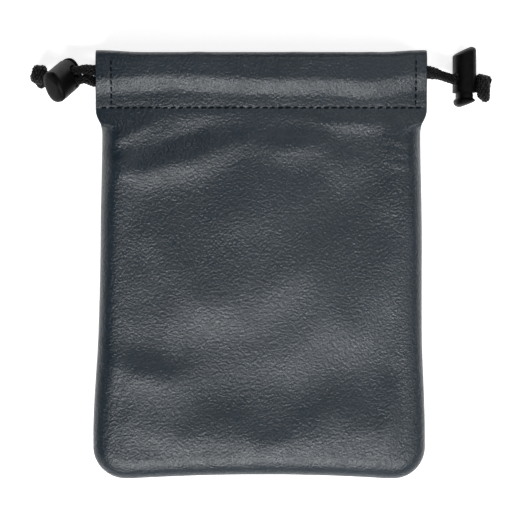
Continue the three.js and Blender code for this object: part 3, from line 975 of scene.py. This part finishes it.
def domed_end(half_depth, half_breadth, edge, slope, peak, middle):
    """Rings from the rim to the top of an end that is steep near one flat side and slants to the other."""
    rings = []
    for step in range(DOME_STEPS + 1):
        share = 0.98 * step / DOME_STEPS
        bulge = math.sqrt(1 - (1 - share) ** 2)
        ring = []
        for (px, py, pz), (rim_x, _, _) in zip(
            oval(half_depth, half_breadth, edge, slope, middle, share),
            oval(half_depth, half_breadth),
        ):
            toward = 0.5 + 0.5 * rim_x / half_depth * math.copysign(1, middle)
            rise = lerp(share, bulge, 0.25 + 0.75 * toward)
            ring.append((px, py, lerp(pz, peak, rise)))
        rings.append(ring)
    return rings


def stock_from_rings(name, rings):
    return mesh_object(name, [p for ring in rings for p in ring], ring_faces(len(rings), OVAL_POINTS))


def slot_stock(low, high, yaw):
    """The cord slot with rounded corners, turned and tilted like the cords that it carries."""
    across = HOLE_HALF_BREADTH - SLOT_CORNER
    middle, up = (low + high) / 2, (high - low) / 2 - SLOT_CORNER
    outline = []
    for cx, cz, start in ((1, 1, 0), (-1, 1, 90), (-1, -1, 180), (1, -1, 270)):
        for step in range(7):
            a = math.radians(start + 15 * step)
            corner = (SLOT_CORNER * math.cos(a), SLOT_CORNER * math.sin(a))
            outline.append((cx * across + corner[0], middle + cz * up + corner[1]))
    points = []
    for px in (-3 * LOCK_HALF_DEPTH, 3 * LOCK_HALF_DEPTH):
        points += [(px, a - px * math.tan(yaw), b - px * math.tan(CORD_HOLE_TILT)) for a, b in outline]
    return mesh_object("slot_stock", points, ring_faces(2, len(outline)))


def face_out(mesh):
    work = bmesh.new()
    work.from_mesh(mesh)
    bmesh.ops.recalc_face_normals(work, faces=work.faces)
    work.to_mesh(mesh)
    work.free()


def cut(stock, *tools):
    """Cuts each tool out of the stock and removes the tool."""
    face_out(stock.data)
    for tool in tools:
        face_out(tool.data)
        cutter = stock.modifiers.new("cut", "BOOLEAN")
        cutter.operation = "DIFFERENCE"
        cutter.solver = "EXACT"
        cutter.object = tool
        apply_modifiers(stock)
        bpy.data.objects.remove(tool, do_unlink=True)
    return stock


def dress_lock_piece(stock, name, matrix, edge, material):
    """Names a cut piece, rounds its edges and puts it in its lock's place."""
    stock.name = name
    stock.data.name = name
    bevel = stock.modifiers.new("edges", "BEVEL")
    bevel.width = edge
    bevel.segments = 3
    bevel.limit_method = "ANGLE"
    bevel.angle_limit = math.radians(32)
    bevel.use_clamp_overlap = True
    apply_modifiers(stock)
    mesh = stock.data
    mesh.transform(matrix)
    mesh.materials.clear()
    mesh.materials.append(material)
    mesh.polygons.foreach_set("use_smooth", [True] * len(mesh.polygons))
    smooth = stock.modifiers.new("normals", "WEIGHTED_NORMAL")
    smooth.keep_sharp = True


# ---------------------------------------------------------------- operators

def bag_settings():
    return bpy.context.scene.dice_bag


FLOOR_REACH = 3.0
FLOOR_DROP = 0.05 * MM          # how far the floor lies below the bag, so that the two don't touch
CAMERA_PLACE = (-1.9 * MM, 3.6 * MM, 1.034)
CAMERA_LENS, CAMERA_SENSOR = 200, 36
ROOM_COLOUR = (0.98, 0.99, 1.0, 1.0)
# Soft lights that face the bag: place, width, height and the setting that holds the power.
LIGHTS = {
    "key_light": ((-0.05, -0.50, 0.74), 0.70, 0.15, "key"),
    "right_light": ((0.60, -0.20, 0.66), 0.16, 0.50, "fill"),
    "top_light": ((0.16, 0.52, 0.70), 0.45, 0.12, "fill"),
}


class BAG_OT_stage(Operator):
    """Make the floor, the soft lights and the camera"""

    bl_idname = "dice_bag.stage"
    bl_label = "Stage"

    def execute(self, context):
        settings = bag_settings().stage
        self.floor(settings)
        for name, light in LIGHTS.items():
            self.light(context.scene, name, *light, settings)
        world = bpy.data.worlds.new("studio")
        world.use_nodes = True
        background = world.node_tree.nodes["Background"]
        background.inputs["Color"].default_value = ROOM_COLOUR
        background.inputs["Strength"].default_value = settings.room
        context.scene.world = world
        self.camera(context.scene)
        context.scene.view_settings.view_transform = "Standard"
        return {"FINISHED"}

    def floor(self, settings):
        n = Nodes("floor_finish")
        tint = n.noise(60 * MM, detail=2)
        colour = n.mix(n.span(tint, 0.3, 0.7), tuple(settings.floor), shade(settings.floor, 0.99))
        n.link(colour, n.shader.inputs["Base Color"])
        n.shader.inputs["Roughness"].default_value = 0.9
        n.shader.inputs["Emission Color"].default_value = (1, 1, 1, 1)
        n.shader.inputs["Emission Strength"].default_value = settings.glow
        n.shader.inputs["Specular IOR Level"].default_value = 0.1
        r = FLOOR_REACH
        floor = mesh_object("floor", [(-r, -r, 0), (r, -r, 0), (r, r, 0), (-r, r, 0)], [(0, 1, 2, 3)])
        floor.data.materials.append(n.material)
        floor.location.z = -FLOOR_DROP

    def light(self, scene, name, place, width, height, power, settings):
        lamp = bpy.data.lights.new(name, "AREA")
        lamp.shape = "RECTANGLE"
        lamp.size, lamp.size_y = width, height
        lamp.energy = getattr(settings, power)
        light = bpy.data.objects.new(name, lamp)
        light.location = place
        light.rotation_euler = (-Vector(place)).to_track_quat("-Z", "Y").to_euler()
        scene.collection.objects.link(light)

    def camera(self, scene):
        camera_data = bpy.data.cameras.new("camera")
        camera_data.lens = CAMERA_LENS
        camera_data.sensor_width = CAMERA_SENSOR
        camera = bpy.data.objects.new("camera", camera_data)
        camera.location = CAMERA_PLACE
        scene.collection.objects.link(camera)
        scene.camera = camera


class BAG_OT_leather(Operator):
    """Make the front and back leather, each one sheet with its top turned back into a casing"""

    bl_idname = "dice_bag.leather"
    bl_label = "Leather"

    def execute(self, context):
        settings = bag_settings()
        material = finish_called("faux_leather_finish", leather_finish, settings.leather)
        for face, side in (("front", 1), ("back", -1)):
            outer, inner = leather_grids(side, settings)
            points, faces = close_sheet(outer, inner, side)
            piece = new_piece(f"{face}_leather", points, faces, material)
            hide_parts(f"{face}_panel", f"{face}_casing")
            move_with_panel(piece, side)
        return {"FINISHED"}


def move_with_panel(piece, side):
    """Leaves a front piece where it stands, attached to no body, and attaches a back piece to the root."""
    if side > 0:
        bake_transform(piece)
    else:
        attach(piece, "root")


class BAG_OT_stitches(Operator):
    """Sew the casing rows and the short rows at the casing's ends"""

    bl_idname = "dice_bag.stitches"
    bl_label = "Stitches"

    def execute(self, context):
        settings = bag_settings().stitch
        material = finish_called("thread_finish", thread_finish, settings)
        for face, side in (("front", 1), ("back", -1)):
            surface = bpy.data.objects[f"{face}_leather"]
            holes = self.cross_row(settings.pitch)
            self.sew(f"{face}_casing_stitches", surface, holes, side, f"{face}_casing_thread", material)
            for end, x in (("left", LEFT_END_X), ("right", RIGHT_END_X)):
                holes = self.end_row(x, settings.end_pitch)
                name, node = f"{face}_{end}_end_stitches", f"{face}_{end}_end_thread"
                self.sew(name, surface, holes, side, node, material)
        return {"FINISHED"}

    def cross_row(self, pitch):
        reach = CASING_HALF_WIDTH - 0.6 * MM
        count = int(2 * reach / pitch)
        return [(x, STITCH_Y) for x in (np.arange(count + 1) - count / 2) * pitch]

    def end_row(self, x, pitch):
        low, high = STITCH_Y + 0.8 * MM, TOP_Y - 2.2 * MM
        count = int((high - low) / pitch)
        return [(x, low + k * pitch) for k in range(count + 1)]

    def sew(self, name, surface, holes, side, node, material):
        settings = bag_settings().stitch
        spots, ups = [], []
        for x, y in holes:
            start = Vector((x, y, 0.06 if side > 0 else -0.06))
            hit, place, normal, _ = surface.ray_cast(start, Vector((0, 0, -side)))
            if not hit:
                raise RuntimeError(f"{name}: no leather under the stitch at {x:.4f}, {y:.4f}")
            spots.append(np.array(place))
            if normal.z * side <= 0:
                raise RuntimeError(f"{name}: the leather under the stitch is inside out")
            ups.append(np.array(normal) * (0.3, 0.3, 1))
        if side < 0:
            spots = [np.array((s[0], s[1], max(s[2], 0.75 * MM))) for s in spots]
        row = stitch_row(name, spots, ups, settings.thread, material)
        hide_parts(node)
        move_with_panel(row, side)


SEAM_INSET = 1.75 * MM
SEAM_POINTS, SEAM_SIDES = 560, 6
ZIGZAG_RISE, ZIGZAG_POINTS = 0.55 * MM, 4       # how far the thread climbs, and its points to a turn


class BAG_OT_seam(Operator):
    """Overlock the two panels together inside, down the sides and along the bottom"""

    bl_idname = "dice_bag.seam"
    bl_label = "Inside seam"

    def execute(self, context):
        settings = bag_settings().stitch
        material = finish_called("thread_finish", thread_finish, settings)
        inset = SEAM_INSET
        corner = CORNER_RADIUS - inset
        points = [(-(side_half_width(y * MM) - inset), y * MM) for y in (46, 20, -20, -62)]
        for angle in (20, 45, 70):
            turn = math.radians(angle)
            points.append((-(BASE_HALF_WIDTH - CORNER_RADIUS + corner * math.cos(turn)),
                           BOTTOM_Y + CORNER_RADIUS - corner * math.sin(turn)))
        points += [(x * MM, BOTTOM_Y + inset + bottom_arch(x * MM, BOTTOM_Y + inset)) for x in (-42, -24, -8)]
        points += [(-x, y) for x, y in reversed(points)]
        route = [(x, y, float(seam_height(y))) for x, y in points]
        path, _ = along_path(route, SEAM_POINTS)
        path[:, 2] += np.sin(2 * math.pi * np.arange(SEAM_POINTS) / ZIGZAG_POINTS) * ZIGZAG_RISE
        _, normals, sides = path_frames(path)
        rings = round_rings(path, normals, sides, settings.thread / 2, SEAM_SIDES)
        faces = ring_faces(SEAM_POINTS, SEAM_SIDES)
        seam = new_piece("inside_seam_stitches", rings, faces, material)
        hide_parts("seam_thread")
        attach(seam, "root")
        return {"FINISHED"}


# Each strand's route in millimetres, from its casing through the lock to the knot.
STRAND_ROUTES = {
    "left_front": (
        (-59.6, 70.3, 12.2), (-60.2, 70.3, 12.2), (-64.41, 70.66, 10.99),
        (-67.83, 70.02, 10.66), (-71.26, 69.37, 10.33), (-75.9, 68.49, 9.89),
    ),
    "left_back": (
        (-59.6, 66.6, 5.7), (-60.2, 66.6, 5.7), (-63.18, 67.31, 10.04),
        (-66.6, 66.66, 9.71), (-70.02, 66.01, 9.38), (-74.67, 65.14, 8.94),
    ),
    "right_front": (
        (59.6, 70, 12.2), (60.2, 70, 12.2), (64.6, 68.84, 10.02),
        (69.13, 67.49, 9.22), (73.67, 66.15, 8.42), (78.16, 64.82, 7.63),
    ),
    "right_back": (
        (59.6, 69.6, 5.7), (60.2, 69.6, 5.7), (63.95, 68.84, 6.38),
        (68.49, 67.49, 5.58), (73.03, 66.15, 4.78), (77.52, 64.82, 3.98),
    ),
}
LEAD_X = (40, 45, 50, 55)       # a strand's own first points, inside the casing, in millimetres
LOCK_SQUEEZE = 0.19             # how much thinner a strand is in its lock
# Where a strand gets thicker again, counted from its lock's middle, or from the end of the slide.
SQUEEZE_ENDS = (4.2 * MM, 7 * MM)


def casing_cord_point(x, face, end):
    """A point of the cord inside its casing. It drifts towards the place where its strand comes out."""
    side = 1 if face == "front" else -1
    out_y = STRAND_ROUTES[f"{end}_{face}"][0][1]
    y = lerp(CORD_Y / MM, out_y, (x / (CASING_HALF_WIDTH / MM)) ** 2)
    return np.array((x * MM, y * MM, float(casing_plane(x * MM, side))))


def slide_range(end):
    """How far the lock slides towards the casing. The strands are thin all along that stretch."""
    joints = frame["record"]["behaviour"]["joints"]
    return next(j["range_m"][1] for j in joints if j["name"] == f"{end}_lock_slide")


class BAG_OT_cords(Operator):
    """Braid the cords: the lengths inside the casings and the strands that leave them"""

    bl_idname = "dice_bag.cords"
    bl_label = "Cords"

    def execute(self, context):
        settings = bag_settings().cord
        for name, route in STRAND_ROUTES.items():
            end, face = name.split("_")
            self.strand(end, face, route, settings)
        for face in ("front", "back"):
            points = [casing_cord_point(-x, face, "left") for x in (40, 30, 18, 6)]
            points += [casing_cord_point(x, face, "right") for x in (6, 18, 30, 40)]
            path, _ = along_path(points, 160)
            piece = braid(f"{face}_casing_cord", path, CORD_RADIUS * 0.97, settings)
            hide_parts(f"{face}_cord")
            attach(piece, "front" if face == "front" else "root")
        return {"FINISHED"}

    def strand(self, end, face, route, settings):
        hole, travel = lock_line(end)
        outward = OUTWARD[end]
        points = [casing_cord_point(outward * x, face, end) for x in LEAD_X]
        points += [np.array(p) * MM for p in route]
        path, length = braid_path(points)
        inward = (path - hole) @ travel * -outward
        past_lock = np.where(inward > 0, np.maximum(inward - slide_range(end), 0), -inward)
        squeeze = 1 - LOCK_SQUEEZE * (1 - smoothstep(past_lock, *SQUEEZE_ENDS))
        piece = braid(f"{end}_{face}_strand_braid", path, CORD_RADIUS, settings, squeeze)
        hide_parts(f"{end}_{face}_strand")
        if face == "front":
            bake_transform(piece)
        else:
            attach(piece, "root")


# How each knot is wound, in millimetres: middles of its first and last wraps, half sizes of each of
# those wraps across (Y) and upwards (Z), its turns, where it starts in degrees, and its cut end.
KNOTS = {
    "left": dict(near=(-78.2, 68.6, 9.4), far=(-81.7, 69.3, 8.7), near_half=(2.1, 2.1), far_half=(1.6, 1.8),
                 turns=2.1, phase=200, tail=((-79.6, 66.0, 6.6), (-78.6, 64.4, 6.9))),
    "right": dict(near=(78.9, 65.0, 7.4), far=(81.5, 63.7, 6.7), near_half=(2.7, 2.3), far_half=(3.4, 2.5),
                  turns=2.1, phase=330, tail=((79.6, 63.8, 3.6), (78.6, 66.2, 3.2))),
}


KNOT_LEAD = 1.6         # how far before its first wrap a knot's cord starts, in millimetres
WRAP_POINTS = 12        # points to each turn of a knot
TAPER_RINGS = 8         # rings that close the cut end


class BAG_OT_knots(Operator):
    """Tie the strands together beyond each lock"""

    bl_idname = "dice_bag.knots"
    bl_label = "Knots"

    def execute(self, context):
        settings = bag_settings().cord
        radius = CORD_RADIUS * 0.9
        for end, knot in KNOTS.items():
            near, far = np.array(knot["near"]), np.array(knot["far"])
            points = [near - (OUTWARD[end] * KNOT_LEAD, 0, 0)]
            count = int(knot["turns"] * WRAP_POINTS)
            for k in range(count + 1):
                share = k / count
                turn = math.radians(knot["phase"]) + 2 * math.pi * knot["turns"] * share
                across, up = (lerp(a, b, share) for a, b in zip(knot["near_half"], knot["far_half"]))
                middle = lerp(near, far, share)
                points.append(middle + (0, math.cos(turn) * across, math.sin(turn) * up))
            points += [np.array(p) for p in knot["tail"]]
            path, _ = braid_path([p * MM for p in points])
            path[:, 2] = np.maximum(path[:, 2], radius + 0.1 * MM)
            squeeze = np.ones(len(path))
            squeeze[-TAPER_RINGS:] = np.sqrt(1 - np.linspace(0, 0.96, TAPER_RINGS) ** 2)
            piece = braid(f"{end}_knot_braid", path, radius, settings, squeeze)
            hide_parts(f"{end}_knot")
            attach(piece, "root")
        return {"FINISHED"}


class BAG_OT_locks(Operator):
    """Mould each cord lock's barrel and button, and wind its spring"""

    bl_idname = "dice_bag.locks"
    bl_label = "Cord locks"

    def execute(self, context):
        settings = bag_settings().lock
        material = finish_called("lock_plastic_finish", plastic_finish, settings)
        steel = finish_called("spring_steel_finish", steel_finish)
        for end in ("left", "right"):
            matrix = lock_matrix(end)
            barrel = self.barrel(end)
            dress_lock_piece(barrel, f"{end}_barrel_moulding", matrix, settings.edge, material)
            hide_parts(f"{end}_lock_barrel")
            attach(barrel, f"{end}_lock")
            button = self.button(end)
            dress_lock_piece(button, f"{end}_button_moulding", matrix, settings.edge, material)
            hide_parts(f"{end}_lock_button")
            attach(button, f"{end}_button")
            self.spring(end, matrix, steel)
        return {"FINISHED"}

    def barrel(self, end):
        rings = [oval(LOCK_HALF_DEPTH, LOCK_HALF_BREADTH, BARREL_MOUTH)]
        rings += domed_end(LOCK_HALF_DEPTH, LOCK_HALF_BREADTH, **BARREL_DOME)
        outer = stock_from_rings("barrel_stock", rings)
        depth, breadth = LOCK_HALF_DEPTH - LOCK_WALL, LOCK_HALF_BREADTH - LOCK_WALL
        bore = stock_from_rings(
            "bore_stock",
            [oval(depth, breadth, BARREL_MOUTH - 1 * MM), oval(depth, breadth, BARREL_FLOOR)],
        )
        return cut(outer, bore, slot_stock(SLOT_LOW, SLOT_HIGH + 0.4 * MM, CORD_HOLE_YAW[end]))

    def button(self, end):
        depth, breadth = HEAD_HALF_DEPTH, HEAD_HALF_BREADTH
        rings = domed_end(depth, breadth, **HEAD_DOME)[::-1]
        for height, inset in BUTTON_SIDE:
            rings.append(oval(depth - inset * MM, breadth - inset * MM, height * MM))
        body = stock_from_rings("button_stock", rings)
        pocket = stock_from_rings(
            "pocket_stock",
            [oval(POCKET_RADIUS, POCKET_RADIUS, POCKET_FLOOR),
             oval(POCKET_RADIUS, POCKET_RADIUS, POCKET_FLOOR + 4 * MM)],
        )
        slot = slot_stock(SLOT_LOW - BUTTON_TRAVEL, SLOT_HIGH, CORD_HOLE_YAW[end])
        return cut(body, slot, pocket)

    def spring(self, end, matrix, steel):
        t = np.linspace(0, 1, SPRING_POINTS)
        climb = np.clip((t - SPRING_FLAT) / (1 - 2 * SPRING_FLAT), 0, 1)
        height = lerp(POCKET_FLOOR + SPRING_WIRE, BARREL_FLOOR - SPRING_WIRE, climb)
        turn = 2 * math.pi * SPRING_TURNS * t
        local = np.stack([np.cos(turn) * SPRING_RADIUS, np.sin(turn) * SPRING_RADIUS, height], 1)
        path = np.array([matrix @ Vector(p) for p in local])
        _, normals, sides = path_frames(path)
        points = round_rings(path, normals, sides, SPRING_WIRE, SPRING_SIDES)
        faces = ring_faces(SPRING_POINTS, SPRING_SIDES)
        coil = new_piece(f"{end}_spring_coil", points, faces, steel)
        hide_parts(f"{end}_lock_spring")
        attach(coil, f"{end}_lock")
        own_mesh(coil)


class BAG_PT_panel(Panel):
    """The bag's settings and the steps that build it"""

    bl_idname = "BAG_PT_panel"
    bl_label = "Drawstring Dice Bag"
    bl_space_type = "VIEW_3D"
    bl_region_type = "UI"
    bl_category = "Dice Bag"

    def draw(self, context):
        for group_name, steps in STEPS_OF.items():
            group = getattr(context.scene.dice_bag, group_name)
            box = self.layout.box()
            for name in group.__annotations__:
                box.prop(group, name)
            for step in steps:
                box.operator(step.bl_idname)


STEPS_OF = {
    "stage": (BAG_OT_stage,),
    "cord": (BAG_OT_knots, BAG_OT_cords),
    "leather": (BAG_OT_leather,),
    "stitch": (BAG_OT_stitches, BAG_OT_seam),
    "lock": (BAG_OT_locks,),
}


class BagSettings(PropertyGroup):
    leather: PointerProperty(type=BagLeatherSettings)
    stitch: PointerProperty(type=BagStitchSettings)
    cord: PointerProperty(type=BagCordSettings)
    lock: PointerProperty(type=BagLockSettings)
    stage: PointerProperty(type=BagStageSettings)


CLASSES = (
    BagLeatherSettings,
    BagStitchSettings,
    BagCordSettings,
    BagLockSettings,
    BagStageSettings,
    BagSettings,
    *(step for steps in STEPS_OF.values() for step in steps),
    BAG_PT_panel,
)


def register():
    for cls in CLASSES:
        bpy.utils.register_class(cls)
    bpy.types.Scene.dice_bag = PointerProperty(type=BagSettings)


def unregister():
    del bpy.types.Scene.dice_bag
    for cls in reversed(CLASSES):
        bpy.utils.unregister_class(cls)


def main():
    register()
    bpy.ops.dice_bag.stage()
    bpy.ops.dice_bag.knots()
    bpy.ops.dice_bag.cords()
    bpy.ops.dice_bag.leather()
    bpy.ops.dice_bag.stitches()
    bpy.ops.dice_bag.seam()
    bpy.ops.dice_bag.locks()


if __name__ == "__main__":
    main()
